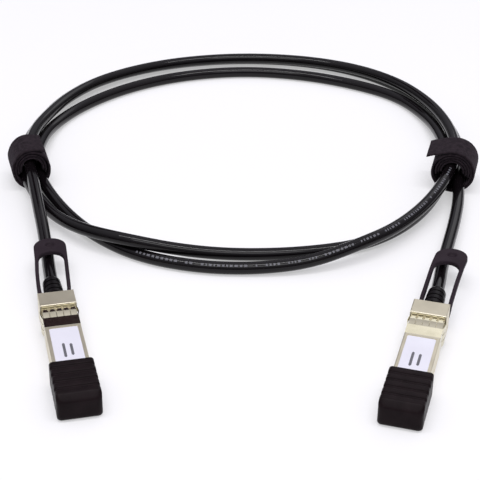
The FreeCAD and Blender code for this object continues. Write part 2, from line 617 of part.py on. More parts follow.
def strap_tie(side):
    """A strap wound one and a half times round the strands, with its end standing off."""
    hand = STRAP_HAND[side]
    step = STRAP_T + STRAP_GAP
    half_turns = 3
    start_turn = -90.0
    inner = []
    outer = []
    centre = Vector(0, 0, 0)
    radius = TIE_R[side]
    for k in range(half_turns):
        first = math.radians(start_turn + 180 * k)
        for rim, grow in ((inner, 0.0), (outer, STRAP_T)):
            spots = [centre + Vector(hand * math.cos(first + a), 0, math.sin(first + a)) * (radius + grow)
                     for a in (0, math.pi / 2, math.pi)]
            rim.append(Part.Arc(*spots).toShape())
        # The next half turn is wider by half a step and its centre moves so that the arcs stay tangent
        last = first + math.pi
        centre = centre - Vector(hand * math.cos(last), 0, math.sin(last)) * (step / 2)
        radius += step / 2
    tip_in = inner[-1].Vertexes[-1].Point
    tip_out = outer[-1].Vertexes[-1].Point
    flap = Vector(-hand * STRAP_FLAP[side], 0, -STRAP_FLAP_DROP[side])
    lines = [
        Part.makeLine(inner[0].Vertexes[0].Point, outer[0].Vertexes[0].Point),
        Part.makeLine(tip_in, tip_in + flap),
        Part.makeLine(tip_in + flap, tip_out + flap),
        Part.makeLine(tip_out + flap, tip_out),
    ]
    face = Part.Face(Part.Wire(Part.__sortEdges__(inner + outer + lines)))
    strip = face.extrude(Vector(0, STRAP_W, 0))
    strip.translate(Vector(0, -STRAP_W / 2, 0))
    angle = math.radians(TIE_ANGLE[side])
    at = Vector(LOOP_MIDDLE[0] + TIE_CENTRE_R[side] * math.cos(angle),
                LOOP_MIDDLE[1] + TIE_CENTRE_R[side] * math.sin(angle), -strip.BoundBox.ZMin)
    heading = TIE_ANGLE[side] - 180 if side == "left" else TIE_ANGLE[side]
    strip.Placement = Placement(at, Rotation(Vector(0, 0, 1), heading)).multiply(strip.Placement)
    return strip


def save(name, shape, place=None):
    """Writes one node, moved to its place."""
    if place is not None:
        shape = shape.copy()
        shape.Placement = place.multiply(shape.Placement)
    shape.exportStep("parts/%s.step" % name)
    print("%-24s solids %d  volume %9.2f  valid %s" % (name, len(shape.Solids), shape.Volume, shape.isValid()))
    return shape


def main():
    os.makedirs("parts", exist_ok=True)
    for side in PLUG_AT:
        place = plug_place(side)
        save("lower_housing_" + side, lower_housing(), place)
        save("top_cover_" + side, top_cover(), place)
        save("emi_collar_" + side, emi_collar(), place)
        save("label_" + side, label(), place)
        save("paddle_card_" + side, paddle_card(), place)
        save("memory_chip_" + side, memory_chip(), place)
        save("twinax_pairs_" + side, twinax_pairs(), place)
        save("crimp_ferrule_" + side, crimp_ferrule(), place)
        save("strain_relief_" + side, strain_relief(), place)
        save("latch_slide_" + side, latch_slide(), place)
        save("return_springs_" + side, return_springs(), place)
        save("pull_tab_" + side, pull_tab(side), place)
        save("dust_cap_" + side, dust_cap(), place)
        save("tie_" + side, strap_tie(side))
    cable, length, radii = round_tube(cable_route(), CABLE_D)
    save("cable", cable)
    print("cable length %.0f mm, volume over section times length %.4f" % (
        length, cable.Volume / (math.pi * CABLE_D ** 2 / 4 * length)))
    print("bend radii", [round(r) for r in radii])


main()
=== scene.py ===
import logging
from dataclasses import dataclass, field
from enum import Enum
from math import cos, pi, radians, sin, sqrt

import bmesh
import bpy
from bpy.types import ID, Material, Node, NodeSocket, NodeTree, Object
from mathutils import Matrix, Vector, noise


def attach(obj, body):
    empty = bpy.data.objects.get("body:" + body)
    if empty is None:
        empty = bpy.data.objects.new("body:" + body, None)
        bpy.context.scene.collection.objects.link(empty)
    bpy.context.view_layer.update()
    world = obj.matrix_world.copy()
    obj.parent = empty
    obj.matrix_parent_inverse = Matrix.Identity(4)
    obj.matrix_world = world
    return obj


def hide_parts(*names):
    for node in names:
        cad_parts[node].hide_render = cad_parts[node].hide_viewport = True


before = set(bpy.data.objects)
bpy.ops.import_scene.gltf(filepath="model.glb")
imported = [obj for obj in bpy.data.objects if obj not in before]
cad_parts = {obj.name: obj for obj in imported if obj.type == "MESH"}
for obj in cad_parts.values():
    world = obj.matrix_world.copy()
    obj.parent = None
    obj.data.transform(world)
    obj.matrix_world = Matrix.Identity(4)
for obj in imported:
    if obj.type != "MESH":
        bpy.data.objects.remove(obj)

log = logging.getLogger("cable")
MM = 0.001
ROOT = "cable_and_plugs"
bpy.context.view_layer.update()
# The loop's middle in plan and the height of the plugs' axis, in millimetres
LOOP_MIDDLE = (-4.7, 150.6)
AXIS_HEIGHT = 5.35

# Two numbers, a point or direction, a face's corners, and points each with a way outward
Pair = tuple[float, float]
Point = tuple[float, float, float]
Face = tuple[int, ...]
Course = list[tuple[Vector, Vector]]


class Side(Enum):
    """Which end of the cable a plug or tie belongs to."""

    LEFT = "left"
    RIGHT = "right"

    @property
    def hand(self) -> int:
        """The sign that turns a left-hand shape into this side's."""
        return 1 if self is Side.LEFT else -1


def each_side(left: object, right: object) -> dict:
    """A dataclass field that holds one value for the left side and one for the right."""
    return field(default_factory=lambda: {Side.LEFT: left, Side.RIGHT: right})


# Colours and nodes

def linear(colour: str) -> tuple[float, float, float, float]:
    """Turns an sRGB hex colour to linear light.

    Args:
        colour: six hex digits after a hash sign.

    Returns:
        Red, green, blue and an alpha of 1.
    """
    parts = [int(colour[k:k + 2], 16) / 255 for k in (1, 3, 5)]
    red, green, blue = [p / 12.92 if p <= 0.04045 else ((p + 0.055) / 1.055) ** 2.4 for p in parts]
    return red, green, blue, 1.0


def add_node(tree: NodeTree, kind: str, settings: dict | None = None, **links) -> Node:
    """Adds one node to a material.

    Args:
        tree: the material's node tree.
        kind: the node's type without its ShaderNode prefix.
        settings: properties, and values of sockets, by name.
        links: sockets by name, with underscores for spaces, and what feeds each.

    Returns:
        The new node.
    """
    node = tree.nodes.new("ShaderNode" + kind)
    for name, value in (settings or {}).items():
        if name in node.inputs:
            node.inputs[name].default_value = value
        else:
            setattr(node, name, value)
    for name, source in links.items():
        tree.links.new(source, node.inputs[name.replace("_", " ")])
    return node


def new_material(name: str) -> tuple[Material, NodeTree]:
    """Makes a material with an empty node tree.

    Args:
        name: the material's name.

    Returns:
        The material and its tree.
    """
    material = bpy.data.materials.new(name)
    material.use_nodes = True
    material.node_tree.nodes.clear()
    return material, material.node_tree


@dataclass(frozen=True)
class Finish:
    """What one real material is made of and how its surface came about.

    The base tone varies a little over the surface, the roughness follows the broader grain, and
    two grains of bump stand on it: a broad one from moulding or casting, and a fine one. Each
    texture repeats about once in its size.
    """

    name: str
    colour: str
    second: str
    roughness: float
    metallic: float = 0.0
    ior: float = 1.5
    specular: float = 0.5
    cloud_mm: float = 6.0
    cloud_span: Pair = (0.35, 0.65)
    roughness_spread: float = 0.06
    grain_mm: float = 0.6
    grain_span: Pair = (0.3, 0.7)
    grain_height_mm: float = 0.02
    fine_mm: float = 0.18
    fine_height_mm: float = 0.006
    coat: float = 0.0
    coat_roughness: float = 0.1
    sheen: float = 0.0
    sheen_colour: str = "#FFFFFF"
    streak: Point = (1.0, 1.0, 1.0)

    def build(self) -> Material:
        """Makes the material.

        Returns:
            The new material.
        """
        material, tree = new_material(self.name)
        place = add_node(tree, "TexCoord").outputs["Object"]
        streaked = add_node(tree, "Mapping", {"Scale": self.streak}, Vector=place).outputs["Vector"]
        cloud, grain, fine = [
            add_node(tree, "TexNoise", {"Scale": 1 / (size * MM), "Detail": detail},
                     Vector=way).outputs["Fac"]
            for size, detail, way in ((self.cloud_mm, 4.0, place), (self.grain_mm, 3.0, streaked),
                                      (self.fine_mm, 2.0, streaked))]
        tone = add_node(tree, "ValToRGB", Fac=cloud)
        for k, (at, colour) in enumerate(zip(self.cloud_span, (self.colour, self.second))):
            tone.color_ramp.elements[k].position = at
            tone.color_ramp.elements[k].color = linear(colour)
        rough = add_node(tree, "MapRange",
                         {"From Min": self.grain_span[0], "From Max": self.grain_span[1],
                          "To Min": self.roughness - self.roughness_spread,
                          "To Max": self.roughness + self.roughness_spread}, Value=grain)
        broad = add_node(tree, "Bump", {"Strength": 1.0, "Distance": self.grain_height_mm * MM},
                         Height=grain)
        bump = add_node(tree, "Bump", {"Strength": 1.0, "Distance": self.fine_height_mm * MM},
                        Height=fine, Normal=broad.outputs["Normal"])
        shader = add_node(tree, "BsdfPrincipled",
                          {"Metallic": self.metallic, "IOR": self.ior,
                           "Specular IOR Level": self.specular, "Coat Weight": self.coat,
                           "Coat Roughness": self.coat_roughness, "Sheen Weight": self.sheen,
                           "Sheen Tint": linear(self.sheen_colour)},
                          Base_Color=tone.outputs["Color"], Roughness=rough.outputs["Result"],
                          Normal=bump.outputs["Normal"])
        add_node(tree, "OutputMaterial", Surface=shader.outputs["BSDF"])
        return material


# Zinc die casting under satin nickel: warm grey metal, a faint cast grain, soft highlights
NICKEL_CASTING = Finish(
    "nickel_plated_zinc", "#E4DDC6", "#D7D0BA", 0.42, metallic=1.0, cloud_mm=9.0, grain_mm=0.5,
    grain_height_mm=0.006, fine_mm=0.15, fine_height_mm=0.002)
# Stainless spring strip, rolled and polished: brighter than the casting, streaked across the plug
SPRING_STRIP = Finish(
    "polished_stainless_strip", "#DBD5BC", "#CDC7AE", 0.09, metallic=1.0, grain_mm=0.4,
    roughness_spread=0.02, grain_height_mm=0.0012, fine_height_mm=0.0006, streak=(0.1, 1.0, 1.0))
# Cold-rolled steel sheet of the release slide: duller, with rolling streaks along the plug
ROLLED_SHEET = Finish(
    "rolled_steel_sheet", "#B5B2AC", "#A6A39D", 0.38, metallic=1.0, grain_mm=0.4,
    grain_height_mm=0.003, streak=(1.0, 0.1, 1.0))
# Drawn steel wire: smooth and bright
DRAWN_WIRE = Finish(
    "drawn_steel_wire", "#B9B6B0", "#ABA8A2", 0.25, metallic=1.0, grain_height_mm=0.001)
# Coated polyester label film: cool white, flat, with a soft gloss
LABEL_FILM = Finish(
    "white_polyester_film", "#E9E8F2", "#E3E2EC", 0.38, ior=1.6, cloud_mm=12.0, grain_mm=1.5,
    grain_height_mm=0.004, fine_mm=0.2, fine_height_mm=0.001)
# Printer's ink laid on the film and the jacket: an even grey with no gloss of its own
LABEL_INK = Finish("grey_printing_ink", "#5A5A60", "#66666C", 0.5, grain_height_mm=0.002)
# Glass-epoxy board under green solder mask: glossy, with the weave just showing
BOARD_MASK = Finish(
    "green_solder_mask", "#1E5A32", "#1A4E2C", 0.3, ior=1.55, grain_mm=0.5, grain_height_mm=0.01,
    coat=0.5)
# Moulded epoxy of the memory package: dark grey and matte
CHIP_EPOXY = Finish("moulded_chip_epoxy", "#1C1C1E", "#232326", 0.55)
# Aluminium foil wrapped round each twinax pair: bright, softly creased
PAIR_FOIL = Finish(
    "aluminium_foil_wrap", "#C4C6C9", "#B2B4B8", 0.3, metallic=1.0, grain_mm=0.8,
    grain_height_mm=0.04)
# Nickel-plated brass ferrule, drawn and crimped: warm and bright
FERRULE_BRASS = Finish(
    "nickel_plated_brass", "#BDB39B", "#AFA58E", 0.3, metallic=1.0, grain_height_mm=0.004)
# Extruded PVC jacket: nearly black, a touch of purple, glossy with a slight orange peel
PVC_JACKET = Finish(
    "black_pvc_jacket", "#0B080A", "#100D0F", 0.11, ior=1.38, specular=0.4, cloud_mm=20.0,
    grain_mm=3.0, grain_height_mm=0.004, fine_mm=0.4, fine_height_mm=0.0004, roughness_spread=0.03)
# Moulded thermoplastic elastomer of the boots: black, slightly glossy ribs
BOOT_ELASTOMER = Finish(
    "black_moulded_elastomer", "#0C090B", "#110E10", 0.3, ior=1.3, specular=0.25, grain_mm=0.7,
    grain_height_mm=0.01, fine_height_mm=0.002)
# Moulded rubber of the caps: matte, brown-black, with the eroded grain of its tool. The real
# grain is about 0.1 mm and is drawn coarser so that it shows
CAP_RUBBER = Finish(
    "black_moulded_rubber", "#171012", "#1E1618", 0.4, ior=1.33, specular=0.14, cloud_mm=5.0,
    grain_mm=0.5, grain_height_mm=0.02, fine_mm=0.2, fine_height_mm=0.006)
# Injection-moulded nylon of the pull tabs: charcoal, satin
TAB_NYLON = Finish(
    "charcoal_moulded_nylon", "#2A2228", "#31292F", 0.5, ior=1.33, specular=0.12, cloud_mm=8.0,
    grain_mm=0.5, grain_height_mm=0.01, fine_mm=0.2, fine_height_mm=0.003)
# Brushed nylon loops of the hook-and-loop strap: matte, fuzzy, lighter where the pile catches
# the light. A real loop is about 0.25 mm and is drawn at 0.45 mm so that it shows
LOOP_PILE = Finish(
    "brushed_loop_pile", "#1F191D", "#2E262B", 0.9, ior=1.33, specular=0.2, cloud_mm=1.6,
    grain_mm=0.45, grain_height_mm=0.16, fine_mm=0.2, fine_height_mm=0.08, sheen=0.08,
    sheen_colour="#A8A0AC")


# Mesh helpers

def put(name: str, data: ID) -> Object:
    """Adds an object to the scene.

    Args:
        name: the object's name.
        data: its mesh, curve, light or camera.

    Returns:
        The new object.
    """
    piece = bpy.data.objects.new(name, data)
    bpy.context.scene.collection.objects.link(piece)
    return piece


def mesh_piece(name: str, points: list[Point], faces: list[Face], material: Material,
               body: str = ROOT, smooth: bool = True) -> Object:
    """Makes an object of a mesh in metres, with its finish and its body.

    Args:
        name: the piece's name.
        points: corners in metres in the object's frame.
        faces: corner numbers of each face.
        material: its finish.
        body: the body that it rides on.
        smooth: whether its faces are shaded smooth.

    Returns:
        The new object.
    """
    mesh = bpy.data.meshes.new(name)
    mesh.from_pydata(points, [], faces)
    mesh.validate()
    work = bmesh.new()
    work.from_mesh(mesh)
    bmesh.ops.recalc_face_normals(work, faces=work.faces)
    work.to_mesh(mesh)
    work.free()
    for polygon in mesh.polygons:
        polygon.use_smooth = smooth
    mesh.materials.append(material)
    piece = put(name, mesh)
    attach(piece, body)
    log.info("%s: %d points, %d faces", name, len(mesh.vertices), len(mesh.polygons))
    return piece


def ring_faces(count: int, size: int, first: int = 0) -> list[Face]:
    """The faces between closed rings of points that follow one another, and the two ends.

    Args:
        count: how many rings there are.
        size: how many points each has.
        first: the number of the first point.

    Returns:
        The corner numbers of each face.
    """
    last = first + (count - 1) * size
    faces: list[Face] = [tuple(range(row, row + size)) for row in (first, last)]
    for row in range(first, last, size):
        for k in range(size):
            n = (k + 1) % size
            faces.append((row + k, row + n, row + size + n, row + size + k))
    return faces


def turn(angle: float) -> tuple[Vector, Vector]:
    """The across and back directions of a plug or tie whose back direction is turned from +Y.

    Args:
        angle: degrees, counterclockwise seen from above.

    Returns:
        The unit vector across and the unit vector back.
    """
    a = radians(angle)
    return Vector((cos(a), sin(a), 0)), Vector((-sin(a), cos(a), 0))


def along(points: list[Vector]) -> list[float]:
    """The distance from the first point to each point of a line."""
    lengths = [0.0]
    for a, b in zip(points, points[1:]):
        lengths.append(lengths[-1] + (b - a).length)
    return lengths


@dataclass(frozen=True)
class Seat:
    """Where a plug lies: the front of its cap seen from above, and how far its back is turned.

    The plug's own frame runs across, back from its nose, and up. Sizes are millimetres.
    """

    at: Pair
    turned: float
    nose_gap: float = 1.5

    def point(self, x: float, y: float, z: float) -> Point:
        """Turns a point of the plug's own frame to metres in the object's frame.

        Args:
            x: distance across the plug.
            y: distance back from its nose.
            z: height.

        Returns:
            The point in metres.
        """
        across, back = turn(self.turned)
        nose = Vector((*self.at, 0)) + back * self.nose_gap
        return tuple((nose + across * x + back * y + Vector((0, 0, z))) * MM)


SEATS = {Side.LEFT: Seat((-58.5, -49.9), 13.9), Side.RIGHT: Seat((51.3, -52.7), -15.4)}


@dataclass
class Cable:
    """The twinax cable from one plug to the other, and the marks printed on its jacket.

    The route follows the solid's: tails out of the plugs, then a loop whose points are an angle
    about the loop's middle, a distance from it and a height. Sizes are millimetres.
    """

    diameter: float = 5.3
    length: float = 1873.0
    inside: float = 7.0
    boot_end: float = 17.65
    plug_rear: float = 65.7
    tail_left: tuple[Point, ...] = (
        (-82.6, 51.6, 5.5), (-86.3, 68.6, 7.4), (-90.6, 85.6, 9.7), (-95.0, 104.1, 11.4))
    tail_right: tuple[Point, ...] = (
        (93.3, 122.6, 6.3), (91.3, 102.6, 5.8), (86.9, 82.6, 5.3), (81.9, 63.6, 5.3),
        (77.3, 46.6, 5.3))
    loop: tuple[Point, ...] = (
        # Far side, leaning on the outermost strand
        (196, 98.8, 11.6), (179, 96.4, 10.3), (164, 95.8, 8.2), (149, 98.6, 6.6),
        (133, 101.8, 5.5), (114, 102.2, 5.3), (94, 103.0, 5.3), (75, 105.6, 5.4),
        (58, 107.8, 6.0), (42, 105.9, 7.4), (27, 102.2, 8.7), (12, 99.6, 10.0), (-3, 98.8, 11.3),
        # Near side, riding over the inner strand at the right and outermost in front
        (-18, 98.6, 11.6), (-35, 99.6, 9.9), (-50, 102.5, 8.7), (-62, 104.4, 8.4),
        (-74, 104.6, 4.4), (-87, 103.3, 2.7), (-100, 103.6, 2.7), (-114, 102.8, 2.7),
        (-128, 99.0, 2.7), (-141, 95.8, 3.0), (-153, 95.4, 5.4),
        # Far side, the innermost strand
        (-166, 95.0, 6.6), (-182, 92.9, 5.6), (-197, 93.2, 2.9), (-213, 91.2, 2.7),
        (-231, 90.0, 2.7), (-250, 90.2, 2.7), (-270, 91.7, 2.7), (-289, 93.6, 2.7),
        (-306, 96.9, 2.7), (-321, 101.2, 2.7), (-336, 99.0, 3.2), (-351, 95.6, 5.9),
        # Near side, the inner strand, humped over the outer one at the left
        (-367, 95.3, 6.9), (-383, 96.0, 5.0), (-400, 97.0, 2.7), (-417, 97.8, 2.7),
        (-433, 93.9, 2.7), (-450, 92.3, 2.7), (-464, 96.3, 5.1), (-476, 103.0, 9.1),
        (-489, 105.0, 7.6), (-501, 102.8, 4.9), (-512, 101.4, 5.4),
        # Far side, the outermost strand, down on the table
        (-524, 101.0, 6.6), (-541, 99.6, 5.2), (-556, 99.8, 3.4), (-571, 103.8, 2.7),
        (-587, 106.8, 2.7), (-606, 107.3, 2.7), (-626, 108.1, 2.7), (-645, 110.6, 2.7),
        (-662, 112.4, 2.7), (-678, 110.0, 2.9), (-693, 105.8, 3.6), (-708, 103.0, 5.0),
        (-722, 101.9, 6.2))
    curve_steps: int = 10
    round_steps: int = 6
    marked: Pair = (500.0, 670.0)
    mark_facing: Point = (0, -0.62, 0.78)
    mark_height: float = 0.95
    mark_lift: float = 0.015
    mark_length: Pair = (0.5, 0.9)
    mark_gaps: Pair = (0.8, 3.4)
    mark_seed: int = 7

    def place(self, side: Side, y: float) -> Vector:
        """A point on a plug's cable axis.

        Args:
            side: which plug.
            y: distance back from the plug's nose.

        Returns:
            The point in the object's frame, in millimetres.
        """
        seat = SEATS[side]
        back = turn(seat.turned)[1]
        return Vector((*seat.at, AXIS_HEIGHT)) + back * (y + seat.nose_gap)

    def route(self) -> list[Vector]:
        """The control points of the cable's line, from inside the left plug to inside the right.

        The line passes inside its control points, so each of the loop's is set a little further
        out than the distance that the table gives.
        """
        ends = {side: [self.place(side, self.plug_rear - self.inside),
                       self.place(side, self.plug_rear + self.boot_end)] for side in Side}
        points = ends[Side.LEFT] + [Vector(p) for p in self.tail_left]
        for k, (degrees, radius, z) in enumerate(self.loop):
            before = self.loop[max(k - 1, 0)][0]
            after = self.loop[min(k + 1, len(self.loop) - 1)][0]
            reach = 2 * radius / (1 + cos(radians(before - after) / 4) ** 2)
            a = radians(degrees)
            points.append(Vector((LOOP_MIDDLE[0] + reach * cos(a),
                                  LOOP_MIDDLE[1] + reach * sin(a), z)))
        return points + [Vector(p) for p in self.tail_right] + ends[Side.RIGHT][::-1]

    def curve(self, name: str, radius: float) -> Object:
        """The route's smooth line as a curve object.

        Args:
            name: the object's name.
            radius: the tube's radius in millimetres, or 0 for the bare line.

        Returns:
            A curve of one open spline.
        """
        data = bpy.data.curves.new(name, "CURVE")
        data.dimensions = "3D"
        data.resolution_u = self.curve_steps
        spline = data.splines.new("NURBS")
        route = self.route()
        spline.points.add(len(route) - 1)
        for point, spot in zip(spline.points, route):
            point.co = (*(spot * MM), 1)
        spline.order_u = 3
        spline.use_endpoint_u = True
        if radius:
            data.bevel_depth = radius * MM
            data.bevel_resolution = self.round_steps
            data.use_fill_caps = True
        return put(name, data)

    def line(self) -> list[Vector]:
        """Points along the smooth line, in metres."""
        guide = self.curve("guide", 0)
        mesh = bpy.data.meshes.new_from_object(guide)
        points = [v.co.copy() for v in mesh.vertices]
        bpy.data.objects.remove(guide)
        bpy.data.meshes.remove(mesh)
        return points

    def build_jacket(self, jacket: Material) -> Object:
        """Args:
            jacket: its finish.

        Returns:
            The jacket.
        """
        piece = self.curve("jacket", self.diameter / 2)
        piece.data.materials.append(jacket)
        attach(piece, ROOT)
        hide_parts("cable")
        log.info("jacket: %d route points", len(self.route()))
        return piece

    def draw(self, state: int) -> int:
        """The whole number that follows another in a fixed row of random ones."""
        return (state * 1103515245 + 12345) % 2147483648

    def build_marks(self, ink: Material) -> Object:
        """Short plain dashes printed along part of the jacket, on the side that faces up and out.

        Args:
            ink: their finish.

        Returns:
            One piece that holds all the dashes.
        """
        points = self.line()
        lengths = along(points)
        start, end = self.marked[0] * MM, self.marked[1] * MM
        shortest, spread = self.mark_length
        narrow, wide = self.mark_gaps
        corners: list[Point] = []
        faces: list[Face] = []
        state = self.mark_seed
        at = 0.0
        while at < end:
            state = self.draw(state)
            dash = (shortest + spread * (state % 1000) / 1000) * MM
            gap = (narrow if state % 5 else wide) * MM
            if at > start:
                first = len(corners)
                corners += self.mark(points, lengths, at, dash)
                faces += [(first + k, first + k + 1, first + k + 4, first + k + 3)
                          for k in (0, 1, 3, 4)]
            at += dash + gap
        return mesh_piece("jacket_marks", corners, faces, ink)

    def mark(self, points: list[Vector], lengths: list[float], at: float,
             dash: float) -> list[Point]:
        """The corners of one dash, three along the cable by three round it.

        Args:
            points: the cable's line in metres.
            lengths: the distance to each of them.
            at: where the dash starts along the cable.
            dash: its length.

        Returns:
            Nine corners in metres.
        """
        radius = (self.diameter / 2 + self.mark_lift) * MM
        height = self.mark_height / (self.diameter / 2)
        corners: list[Point] = []
        for step in range(3):
            target = at + dash * step / 2
            k = next(i for i, d in enumerate(lengths) if d > target)
            share = (target - lengths[k - 1]) / (lengths[k] - lengths[k - 1])
            middle = points[k - 1].lerp(points[k], share)
            ahead = (points[k] - points[k - 1]).normalized()
            outward = Vector(self.mark_facing)
            outward = (outward - ahead * outward.dot(ahead)).normalized()
            sideways = ahead.cross(outward)
            for row in range(3):
                a = height * (row - 1) / 2
                spot = middle + (outward * cos(a) + sideways * sin(a)) * radius
                corners.append(tuple(spot))
        return corners


@dataclass
class StrapTie:
    """A hook-and-loop strap wound one and a half times round the strands. Sizes are millimetres.

    Its inner end is drawn as layers of pile that arch over the strands, inside the wound turns.
    Partly they are the strap's inner end and partly painted shade: dark pile laid in the tie's
    hollow so that it reads dark.
    """

    side: Side
    thickness: float = 1.05
    gap: float = 0.1
    width: float = 16.0
    inner_radii: dict[Side, float] = each_side(6.7, 7.9)
    centre_distances: dict[Side, float] = each_side(98.3, 99.45)
    half_turns: int = 3
    angles: dict[Side, float] = each_side(196.0, -14.0)
    flaps: dict[Side, Pair] = each_side((6.0, 1.0), (12.0, 3.2))
    flap_droop: float = 1.5
    stretches: dict[Side, float] = each_side(1.13, 1.0)
    # Layers of pile in the tie's hollow: partly the strap's inner end, partly painted shade
    inner_layers: dict[Side, int] = each_side(2, 3)
    arch_dip: float = 20.0
    arch_rise: float = 6.0
    spacing: float = 0.55
    edge_wave: float = 0.22
    wave_rates: Point = (0.11, 0.05, 0.01)
    fuzz: float = 0.09
    fuzz_rates: Pair = (0.9, 1.7)

    def wound_line(self) -> Course:
        """Points on the strap's inner face and the way outward from it, in the tie's own plane."""
        step = self.thickness + self.gap
        centre = Vector((0, 0, 0))
        radius = self.inner_radii[self.side]
        line: Course = []
        for k in range(self.half_turns):
            first = radians(-90 + 180 * k)
            count = max(8, round(pi * radius / self.spacing))
            for j in range(count + (k == self.half_turns - 1)):
                a = first + pi * j / count
                out = Vector((cos(a), 0, sin(a)))
                line.append((centre + out * radius, out))
            last = first + pi
            centre = centre - Vector((cos(last), 0, sin(last))) * (step / 2)
            radius += step / 2
        tip, out = line[-1]
        reach, drop = self.flaps[self.side]
        count = max(3, round(reach / self.spacing))
        for j in range(1, count + 1):
            share = j / count
            line.append((tip + Vector((-reach * share, 0, -drop * share ** self.flap_droop)), out))
        return line

    def section(self) -> list[Pair]:
        """The strap's cross section, across its width and through its thickness, edges round."""
        half = self.width / 2
        thick = self.thickness
        count = round(self.width / self.spacing)
        inner = [(-half + thick / 2 + (self.width - thick) * k / count, 0.0)
                 for k in range(count + 1)]
        outer = [(x, thick) for x, _ in reversed(inner)]
        bulge = [(thick / 2 * sin(a), thick / 2 - thick / 2 * cos(a))
                 for a in (pi / 4, pi / 2, 3 * pi / 4)]
        right = [(half - thick / 2 + x, z) for x, z in bulge]
        left = [(-half + thick / 2 - x, z) for x, z in reversed(bulge)]
        return inner + right + outer + left

    def inner_arch(self, layer: int) -> Course:
        """A layer of the strap's inner end, which arches over the strands below the wound turns and
        fills the tie's hollow with dark pile as painted shade.

        Args:
            layer: 1 for the layer next to the wound turns, 2 for the next one inward.

        Returns:
            Points on the layer's inner face and the way outward from it.
        """
        radius = self.inner_radii[self.side] - layer * (self.thickness + self.gap)
        ends = radians(self.arch_rise * layer - self.arch_dip)
        count = round((pi - 2 * ends) * radius / self.spacing)
        angles = [ends + (pi - 2 * ends) * j / count for j in range(count + 1)]
        outs = [Vector((cos(a), 0, sin(a))) for a in angles]
        return [(out * radius, out) for out in outs]

    def sweep(self, line: Course, corners: list[Point], faces: list[Face]) -> None:
        """Sweeps the strap's section along a line in the tie's plane.

        Args:
            line: points on the inner face and the way outward from it.
            corners: the corners so far in the tie's frame, added to.
            faces: the faces so far, added to.
        """
        section = self.section()
        size = len(section)
        first = len(corners)
        by_step, by_width, by_layer = self.wave_rates
        skin_by_step, skin_by_width = self.fuzz_rates
        for j, (spot, out) in enumerate(line):
            for across, depth in section:
                wave = self.edge_wave * noise.noise(
                    Vector((j * by_step, across * by_width, first * by_layer)))
                skin = self.fuzz * noise.noise(
                    Vector((j * skin_by_step, across * skin_by_width, depth)))
                face = (depth - self.thickness / 2) / (self.thickness / 2)
                local = spot + out * (depth + (skin - self.fuzz / 2) * face)
                edge = across + wave * abs(across) / (self.width / 2)
                corners.append((local.x, edge, local.z))
        faces += ring_faces(len(line), size, first)

    def build(self, pile: Material) -> Object:
        """Makes the tie in place of its solid.

        Args:
            pile: its finish.

        Returns:
            The tie.
        """
        corners: list[Point] = []
        faces: list[Face] = []
        self.sweep(self.wound_line(), corners, faces)
        # The inner layers are partly the strap's inner end and partly painted shade: dark pile that
        # fills the tie's hollow
        for layer in range(1, self.inner_layers[self.side] + 1):
            self.sweep(self.inner_arch(layer), corners, faces)
        heading = self.angles[self.side] - (180 if self.side is Side.LEFT else 0)
        across, back = turn(heading)
        a = radians(self.angles[self.side])
        distance = self.centre_distances[self.side]
        at = Vector((LOOP_MIDDLE[0] + distance * cos(a), LOOP_MIDDLE[1] + distance * sin(a), 0))
        lowest = min(z for _, _, z in corners)
        placed = []
        for x, y, z in corners:
            spot = at + across * (-x * self.side.hand) + back * y
            spot.z = (z - lowest) * self.stretches[self.side]
            placed.append(tuple(spot * MM))
        piece = mesh_piece("strap_" + self.side.value, placed, faces, pile)
        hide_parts("tie_" + self.side.value)
        return piece


